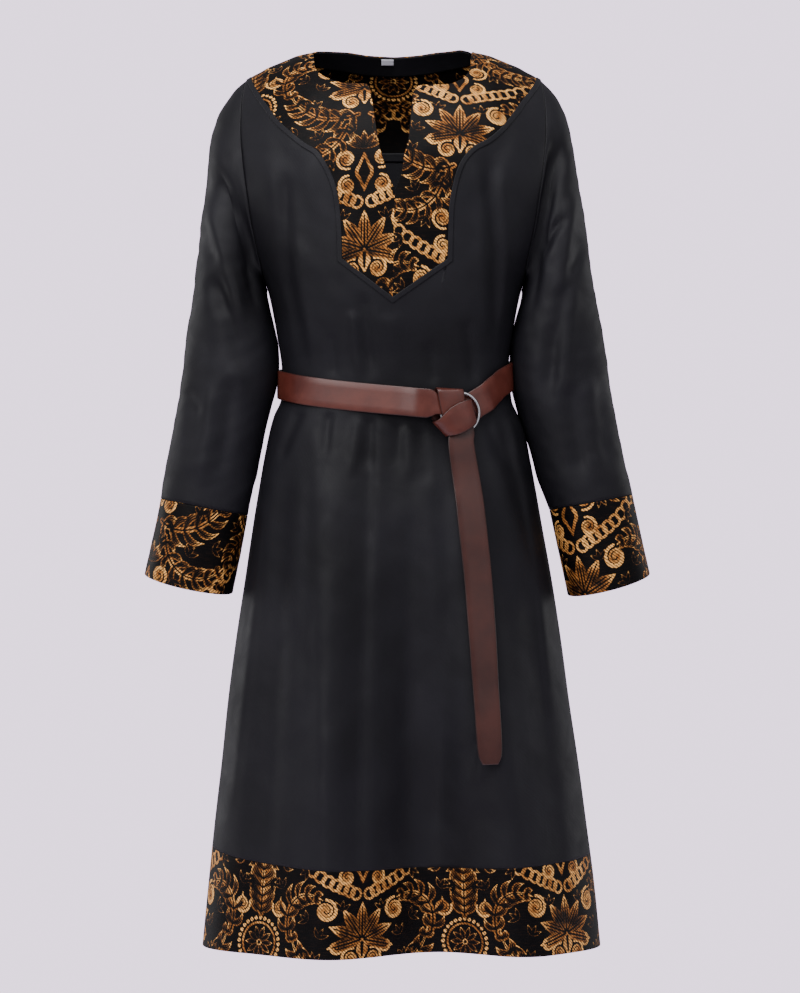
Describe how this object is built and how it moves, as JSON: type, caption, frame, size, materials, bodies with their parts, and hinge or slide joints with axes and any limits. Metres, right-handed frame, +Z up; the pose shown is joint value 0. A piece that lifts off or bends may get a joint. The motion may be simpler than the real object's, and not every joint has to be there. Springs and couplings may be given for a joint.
{
  "type": "belted kaftan",
  "caption": "Long-sleeved worn kaftan with brocade yoke, cuffs and hem band, and a leather strap belt knotted through a ring.",
  "frame": {"origin": "middle of the neck opening on the line of the two shoulder ridges, where the wearer's shoulders carry the garment", "axes": "+Z up along the garment's length, +Y from the front to the back, +X to the wearer's left side"},
  "size_m": [0.6552, 0.3208, 1.1637],
  "materials": {
    "black_cloth": "satin-weave cloth with a soft sheen",
    "brocade": "gold figure woven on a black ground",
    "label_tape": "plain woven tape",
    "brown_leather": "smooth dyed strap leather, half gloss",
    "steel": "polished steel wire"
  },
  "bodies": {
    "root": {"front_panel": "black_cloth", "back_panel": "black_cloth", "sleeve_left": "black_cloth", "sleeve_right": "black_cloth", "neck_facing": "black_cloth", "hem_band_front": "brocade", "hem_band_back": "brocade", "yoke_front_left": "brocade", "yoke_front_right": "brocade", "yoke_back": "brocade", "cuff_left": "brocade", "cuff_right": "brocade", "label": "label_tape", "belt_strap": "brown_leather", "belt_ring": "steel"}
  },
  "joints": []
}
